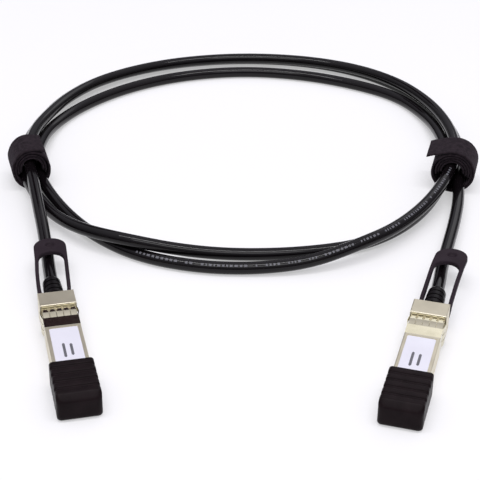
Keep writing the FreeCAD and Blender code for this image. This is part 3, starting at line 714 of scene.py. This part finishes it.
@dataclass
class Cap:
    """The rubber cap pushed over a plug's nose, with the rounds and grooves of its mould.

    Sizes are millimetres in the plug's own frame.
    """

    side: Side
    half_width: float = 8.05
    height: float = 10.7
    front: float = -1.5
    rear: float = 20.4
    edge_round: float = 1.3
    corner_steps: int = 6
    level_steps: int = 12
    upright_steps: int = 7
    nose_round: float = 2.0
    bevel: float = 2.4
    front_drop: float = 0.5
    front_crown: float = 0.1
    front_shares: tuple[float, ...] = (0.08, 0.35, 0.65, 0.88)
    corner_swell: float = 0.6
    rim_round: float = 0.3
    rim_steps: int = 4
    groove_rear: float = 16.8
    groove_pitch: float = 4.2
    groove_count: int = 4
    groove_width: float = 1.9
    groove_depth: float = 0.6
    groove_wall: float = 0.3
    groove_edge: float = 0.1
    cavity_half_width: float = 6.8
    cavity_floor: float = 1.0
    cavity_top: float = 9.7
    cavity_front: float = -0.1
    cavity_end: float = 0.2
    cavity_round: float = 0.3
    ring_step: float = 0.5

    def ring(self, y: float, half: float, low: float, high: float, rounding: float) -> list[Point]:
        """A rounded rectangle across the plug.

        Args:
            y: its distance back from the nose.
            half: half its width.
            low: its lowest height.
            high: its highest height.
            rounding: its corners' radius.

        Returns:
            Its points, the same number for any size.
        """
        r = min(rounding, half, (high - low) / 2)
        centres = [(half - r, high - r, 0), (r - half, high - r, 90), (r - half, low + r, 180),
                   (half - r, low + r, 270)]
        points: list[Point] = []
        for k, (x, z, first) in enumerate(centres):
            turns = [radians(first + 90 / self.corner_steps * j)
                     for j in range(self.corner_steps + 1)]
            arc = [(x + r * cos(a), y, z + r * sin(a)) for a in turns]
            next_x, next_z, next_first = centres[(k + 1) % 4]
            a = radians(next_first)
            start = Vector(arc[-1])
            end = Vector((next_x + r * cos(a), y, next_z + r * sin(a)))
            count = self.level_steps if k % 2 == 0 else self.upright_steps
            points += arc + [tuple(start.lerp(end, j / count)) for j in range(1, count)]
        return points

    def stations(self) -> list[Pair]:
        """Distances back, from the nose's round to the rim's, and how deep the surface lies."""
        edge, wall = self.groove_edge, self.groove_wall
        half = self.groove_width / 2
        profile = [(-half - edge, 0.0), (-half, 0.1), (-half + wall / 2, 0.5), (-half + wall, 0.9),
                   (-half + wall + edge, 1.0)]
        stops: list[Pair] = []
        for k in reversed(range(self.groove_count)):
            centre = self.groove_rear - k * self.groove_pitch
            stops += [(centre + y, self.groove_depth * share) for y, share in profile]
            stops += [(centre - y, self.groove_depth * share) for y, share in reversed(profile)]
        filled: list[Pair] = []
        last = self.front + self.nose_round
        for y, deep in [*stops, (self.rear - self.rim_round, 0.0)]:
            gaps = max(1, round((y - last) / self.ring_step))
            before = filled[-1][1] if filled else 0.0
            filled += [(last + (y - last) * j / gaps, before + (deep - before) * j / gaps)
                       for j in range(1, gaps + 1)]
            last = y
        return filled[:-1]

    def outer_rings(self) -> list[list[Point]]:
        """The cap's outside, from the middle of its front face back to its rim."""
        rings = []
        flat = self.half_width - self.nose_round
        low = self.nose_round
        high = self.height - self.bevel - self.front_drop
        middle = (low + high) / 2
        for share in self.front_shares:
            rings.append(self.ring(self.front - self.front_crown * (1 - share ** 2), flat * share,
                                   middle + (low - middle) * share,
                                   middle + (high - middle) * share, self.edge_round * share))
        for step in range(self.corner_steps + 1):
            a = radians(90 / self.corner_steps * step)
            left = 1 - sin(a)
            inset = self.nose_round * left
            y = self.front + self.nose_round * (1 - cos(a))
            slope = self.bevel - max(0.0, y - self.front) + self.front_drop * left ** 2
            rings.append(self.ring(y, self.half_width - inset, inset, self.height - max(slope, 0.0),
                                   self.edge_round + self.corner_swell * left))
        for y, deep in self.stations():
            slope = max(0.0, self.bevel - (y - self.front))
            rings.append(self.ring(y, self.half_width, deep, self.height - slope - deep,
                                   self.edge_round))
        for step in range(self.rim_steps + 1):
            a = radians(90 / self.rim_steps * step)
            inset = self.rim_round * (1 - cos(a))
            y = self.rear - self.rim_round * (1 - sin(a))
            rings.append(self.ring(y, self.half_width - inset, inset, self.height - inset,
                                   self.edge_round))
        return rings

    def cavity_rings(self) -> list[list[Point]]:
        """The pocket that the plug's nose fills, from the rim to its end."""
        stops = (self.rear, self.rear - self.rim_round, (self.rear + self.cavity_front) / 2,
                 self.cavity_front + self.cavity_end, self.cavity_front)
        return [self.ring(y, self.cavity_half_width, self.cavity_floor, self.cavity_top,
                          self.cavity_round) for y in stops]

    def build(self, rubber: Material) -> Object:
        """Makes the cap in place of its solid.

        Args:
            rubber: its finish.

        Returns:
            The cap.
        """
        rings = self.outer_rings() + self.cavity_rings()
        corners = [SEATS[self.side].point(*spot) for ring in rings for spot in ring]
        piece = mesh_piece("rubber_cap_" + self.side.value, corners,
                           ring_faces(len(rings), len(rings[0])), rubber,
                           body="cap_" + self.side.value)
        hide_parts("dust_cap_" + self.side.value)
        return piece


@dataclass
class PullTab:
    """The moulded tab that draws a release slide: two arms that rise to a head over the cable.

    Sizes are millimetres in the plug's own frame. The arms flex sideways and the head is twisted
    a little, each side its own way, as the photographed ones are.
    """

    side: Side
    root: float = 66.3
    tip: float = 105.5
    half_width: float = 6.5
    arm: float = 1.5
    arm_height: float = 2.6
    head_length: float = 10.4
    head_thickness: float = 2.0
    level_length: float = 4.0
    dimple_radius: float = 2.0
    dimple_depth: float = 1.1
    dimple_wall: float = 0.6
    dimple_back: float = 5.2
    edge: float = 0.4
    edge_step: float = 0.12
    root_halves: dict[Side, Pair] = each_side((6.0, 5.75), (5.8, 7.0))
    bows: dict[Side, Pair] = each_side((-0.3, 0.0), (0.0, -0.2))
    bow_lean: float = 1.6
    flare: float = 2.4
    head_heights: dict[Side, float] = each_side(9.4, 10.0)
    twists: dict[Side, float] = each_side(0.0, -2.0)
    yaws: dict[Side, float] = each_side(-3.3, -4.4)
    arm_steps: int = 22
    arc_steps: int = 80
    cross_steps: int = 28

    def ease(self, share: float) -> float:
        """A share from 0 to 1 with level ends."""
        t = min(1.0, max(0.0, share))
        return t * t * (3 - 2 * t)

    def edges(self) -> list[tuple[float, float, float, float]]:
        """The window's edge and the outer edge beside it, from the left arm's root to the right's.

        Returns:
            The inner point and the outer point at each step, seen from above.
        """
        window = self.half_width - self.arm
        middle = self.tip - self.head_length - window
        reach = self.tip - self.half_width - middle
        sides: dict[int, list[tuple[float, float, float, float]]] = {}
        for sign, root_half, bow in zip((-1, 1), self.root_halves[self.side], self.bows[self.side]):
            rows = []
            for k in range(self.arm_steps):
                share = k / self.arm_steps
                half = root_half + (self.half_width - root_half) * self.ease(share * self.flare)
                x = bow * sin(pi * share ** self.bow_lean)
                y = self.root + (middle - self.root) * share
                rows.append((x + sign * (half - self.arm), y, x + sign * half, y))
            sides[sign] = rows
        arc = []
        for k in range(self.arc_steps + 1):
            a = pi * (1 - k / self.arc_steps)
            run = self.half_width / max(abs(cos(a)), 1e-6)
            if run * sin(a) > reach:
                run = reach * sin(a) + sqrt(self.half_width ** 2 - (reach * cos(a)) ** 2)
            arc.append((window * cos(a), middle + window * sin(a),
                        run * cos(a), middle + run * sin(a)))
        return sides[-1] + arc + sides[1][::-1]

    def heights(self, y: float) -> Pair:
        """The tab's lower and upper height at a distance back from the nose."""
        low = AXIS_HEIGHT - self.arm_height / 2
        start = self.root + self.level_length
        share = self.ease((y - start) / (self.tip - self.head_length - start))
        bottom = low + (self.head_heights[self.side] - low) * share
        return bottom, bottom + self.arm_height + (self.head_thickness - self.arm_height) * share

    def section(self, inner: Vector, outer: Vector) -> list[Vector]:
        """The tab's closed outline between its two edges, with round edges and the thumb dimple.

        Args:
            inner: the point on the window's edge.
            outer: the point on the outer edge.

        Returns:
            Points along the top and back along the underside.
        """
        width = (outer - inner).length
        flat = width - 2 * self.edge
        spots = [0.0, self.edge_step, self.edge]
        spots += [self.edge + flat * k / self.cross_steps for k in range(1, self.cross_steps)]
        spots += [width - self.edge, width - self.edge_step, width]
        dimple = Vector((0, self.tip - self.dimple_back, 0))
        top, under = [], []
        for d in spots:
            spot = inner.lerp(outer, d / width)
            near = min(d, width - d, self.edge)
            drop = self.edge - sqrt(self.edge ** 2 - (self.edge - near) ** 2)
            low, high = self.heights(spot.y)
            inside = (self.dimple_radius - (spot - dimple).length) / self.dimple_wall
            sunk = self.dimple_depth * self.ease(inside)
            top.append(Vector((spot.x, spot.y, high - drop - sunk)))
            under.append(Vector((spot.x, spot.y, low + drop)))
        return top + under[::-1]

    def build(self, nylon: Material) -> Object:
        """Makes the tab in place of its solid.

        Args:
            nylon: its finish.

        Returns:
            The tab.
        """
        root = Vector((0, self.root, AXIS_HEIGHT))
        yaw = Matrix.Rotation(radians(self.yaws[self.side]), 3, "Z")
        corners: list[Point] = []
        rows = self.edges()
        for ix, iy, ox, oy in rows:
            for point in self.section(Vector((ix, iy, 0)), Vector((ox, oy, 0))):
                share = self.ease((point.y - self.root) / (self.tip - self.head_length - self.root))
                roll = Matrix.Rotation(radians(self.twists[self.side] * share), 3, "Y")
                corners.append(SEATS[self.side].point(*(root + yaw @ (roll @ (point - root)))))
        piece = mesh_piece("finger_tab_" + self.side.value, corners,
                           ring_faces(len(rows), len(corners) // len(rows)), nylon,
                           body="release_" + self.side.value)
        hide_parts("pull_tab_" + self.side.value)
        return piece


@dataclass
class Plug:
    """One pluggable connector: the finishes of its solids and the plain bars on its label.

    Sizes are millimetres in the plug's own frame.
    """

    side: Side
    bar_top: float = 9.595
    bar_rows: tuple[Point, ...] = ((-1.35, 23.6, 32.6), (1.35, 24.4, 32.0))
    bar_width: float = 1.0

    def dress(self, finishes: dict[str, Material]) -> None:
        """Gives each solid its finish.

        Args:
            finishes: materials by the first part of the node's name.
        """
        for node, material in finishes.items():
            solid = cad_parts[node + "_" + self.side.value]
            solid.data.materials.clear()
            solid.data.materials.append(material)
            log.info("%s_%s: %s", node, self.side.value, material.name)

    def build_bars(self, ink: Material) -> Object:
        """Two plain bars printed on the label, each a middle line and where it starts and ends.

        Args:
            ink: their finish.

        Returns:
            One piece that holds both bars.
        """
        corners: list[Point] = []
        faces: list[Face] = []
        half = self.bar_width / 2
        for x, y0, y1 in self.bar_rows:
            first = len(corners)
            outline = [(x - half, y0 + half), (x - half, y1 - half), (x, y1),
                       (x + half, y1 - half), (x + half, y0 + half), (x, y0)]
            corners += [SEATS[self.side].point(px, py, self.bar_top) for px, py in outline]
            faces.append(tuple(range(first, first + len(outline))))
        return mesh_piece("label_bars_" + self.side.value, corners, faces, ink,
                          smooth=False)


@dataclass(frozen=True)
class Softbox:
    """One rectangular soft light: where it hangs, its aim and size in metres, and its watts."""

    name: str
    at: Point
    aim: Point
    size: Pair
    power: float

    def hang(self) -> None:
        """Adds the light to the scene."""
        data = bpy.data.lights.new(self.name, "AREA")
        data.shape = "RECTANGLE"
        data.size, data.size_y = self.size
        data.energy = self.power
        lamp = put(self.name, data)
        lamp.location = self.at
        aim = Vector(self.aim) - Vector(self.at)
        lamp.rotation_euler = aim.to_track_quat("-Z", "Y").to_euler()


@dataclass
class Studio:
    """The table, its light and the camera.

    The camera's place and lens are in millimetres, its turns in degrees, the rest in metres.
    """

    camera_at: Point = (-4.3, -434.6, 301.7)
    pitch: float = 30.71
    roll: float = 0.82
    focal: float = 105.0
    sensor: float = 36.0
    shift_y: float = 1 / 480
    clip_start: float = 0.01
    table_half: float = 6.0
    table_glow: float = 0.42
    card_at: Point = (-0.45, 1.3, 0.9)
    card_half: Pair = (0.26, 0.24)
    dome_heights: Pair = (0.1, 0.9)
    dome_levels: Pair = (0.12, 0.88)
    softboxes: tuple[Softbox, ...] = (
        Softbox("strip", (0.0, -0.1, 1.5), (0.0, 0.15, 0.0), (1.4, 0.1), 8.5),
        Softbox("behind", (0.6, 1.35, 0.85), (0.0, 0.15, 0.0), (0.8, 0.6), 1.1),
        Softbox("front", (0.0, -1.0, 1.5), (0.0, 0.1, 0.0), (1.2, 0.5), 6.0))

    def build_camera(self) -> None:
        """Makes the camera where the photograph was taken from."""
        data = bpy.data.cameras.new("camera")
        data.lens = self.focal
        data.sensor_width = self.sensor
        data.shift_y = self.shift_y
        data.clip_start = self.clip_start
        camera = put("camera", data)
        down = radians(self.pitch)
        tilt = radians(self.roll)
        ahead = Vector((0, cos(down), -sin(down)))
        level = Vector((1, 0, 0))
        over = level.cross(ahead)
        right = level * cos(tilt) + over * sin(tilt)
        up = right.cross(ahead)
        camera.matrix_world = Matrix((right, up, -ahead)).transposed().to_4x4()
        camera.location = Vector(self.camera_at) * MM
        bpy.context.scene.camera = camera

    def shown(self, tree: NodeTree) -> NodeSocket:
        """A socket that is 1 where a surface is looked at, straight or mirrored, else 0.

        Args:
            tree: the node tree that gets it.

        Returns:
            The socket.
        """
        path = add_node(tree, "LightPath")
        total = path.outputs["Is Camera Ray"]
        for ray in ("Is Glossy Ray", "Is Transmission Ray"):
            either = add_node(tree, "Math", {"operation": "MAXIMUM"})
            tree.links.new(total, either.inputs[0])
            tree.links.new(path.outputs[ray], either.inputs[1])
            total = either.outputs["Value"]
        return total

    def stage_sheet(self, name: str, middle: Vector, across: Vector, up: Vector,
                    material: Material) -> None:
        """Adds one flat sheet to the studio.

        Args:
            name: the sheet's name.
            middle: its middle in metres.
            across: the way to the middle of one edge.
            up: the way to the middle of the next one.
            material: its finish.
        """
        mesh = bpy.data.meshes.new(name)
        corners = [tuple(middle + across * i + up * j)
                   for i, j in ((-1, -1), (1, -1), (1, 1), (-1, 1))]
        mesh.from_pydata(corners, [], [(0, 1, 2, 3)])
        mesh.materials.append(material)
        put(name, mesh)

    def build_floor(self) -> None:
        """Makes the white table that the cable lies on."""
        # Matte white laminate: the eye sees part of it at full white, so that its edge is lost,
        # and the cable's shadow still shows on it
        material, tree = new_material("white_table")
        paint = add_node(tree, "BsdfPrincipled", {"Base Color": linear("#FBFAFC"),
                                                  "Roughness": 0.8, "Specular IOR Level": 0.1})
        glow = add_node(tree, "Emission", {"Color": linear("#FFFFFF"), "Strength": 1.0})
        seen = add_node(tree, "Math", {"operation": "MULTIPLY"})
        tree.links.new(self.shown(tree), seen.inputs[0])
        seen.inputs[1].default_value = self.table_glow
        mixed = add_node(tree, "MixShader")
        tree.links.new(seen.outputs["Value"], mixed.inputs[0])
        tree.links.new(paint.outputs["BSDF"], mixed.inputs[1])
        tree.links.new(glow.outputs["Emission"], mixed.inputs[2])
        add_node(tree, "OutputMaterial", Surface=mixed.outputs["Shader"])
        self.stage_sheet("table", Vector((0, 0, 0)), Vector((self.table_half, 0, 0)),
                         Vector((0, self.table_half, 0)), material)

    def build_flag(self) -> None:
        """Hangs a dark card behind on the left, which the left plug's polished strip mirrors."""
        half_width, half_height = self.card_half
        middle = Vector(self.card_at)
        ahead = (Vector((0, 0, 0)) - middle).normalized()
        across = ahead.cross(Vector((0, 0, 1))).normalized()
        up = across.cross(ahead)
        # Black card with a plum cast, no gloss: the strip mirrors an even tone
        material, tree = new_material("black_card")
        paint = add_node(tree, "BsdfPrincipled", {"Base Color": linear("#3A2D34"),
                                                  "Roughness": 0.9, "Specular IOR Level": 0.0})
        add_node(tree, "OutputMaterial", Surface=paint.outputs["BSDF"])
        self.stage_sheet("dark_card", middle, across * half_width, up * half_height, material)

    def build_light(self) -> None:
        """Makes the soft studio light: a dome brightest overhead, and the softboxes."""
        world = bpy.data.worlds.new("surround")
        world.use_nodes = True
        bpy.context.scene.world = world
        tree = world.node_tree
        tree.nodes.clear()
        way = add_node(tree, "TexCoord").outputs["Generated"]
        height = add_node(tree, "SeparateXYZ", Vector=way).outputs["Z"]
        glow = add_node(tree, "MapRange",
                        {"From Min": self.dome_heights[0], "From Max": self.dome_heights[1],
                         "To Min": self.dome_levels[0], "To Max": self.dome_levels[1]},
                        Value=height)
        surround = add_node(tree, "Background", {"Color": linear("#F6F4FF")},
                            Strength=glow.outputs["Result"])
        add_node(tree, "OutputWorld", Surface=surround.outputs["Background"])
        for softbox in self.softboxes:
            softbox.hang()


def main() -> None:
    """Builds the scene: the studio, the cable with its ties, then the plugs."""
    logging.basicConfig(level=logging.INFO, format="%(name)s: %(message)s")
    bpy.context.scene.view_settings.view_transform = "Standard"
    studio = Studio()
    studio.build_camera()
    studio.build_floor()
    studio.build_flag()
    studio.build_light()

    cable = Cable()
    pile = LOOP_PILE.build()
    ties = [StrapTie(side).build(pile) for side in Side]
    ink = LABEL_INK.build()
    marks = cable.build_marks(ink)
    cable.build_jacket(PVC_JACKET.build())

    casting = NICKEL_CASTING.build()
    finishes = {
        "lower_housing": casting,
        "top_cover": casting,
        "emi_collar": SPRING_STRIP.build(),
        "label": LABEL_FILM.build(),
        "paddle_card": BOARD_MASK.build(),
        "memory_chip": CHIP_EPOXY.build(),
        "twinax_pairs": PAIR_FOIL.build(),
        "crimp_ferrule": FERRULE_BRASS.build(),
        "strain_relief": BOOT_ELASTOMER.build(),
        "latch_slide": ROLLED_SHEET.build(),
        "return_springs": DRAWN_WIRE.build(),
    }
    rubber = CAP_RUBBER.build()
    nylon = TAB_NYLON.build()
    for side in Side:
        plug = Plug(side)
        plug.dress(finishes)
        plug.build_bars(ink)
        Cap(side).build(rubber)
        PullTab(side).build(nylon)


if __name__ == "__main__":
    main()
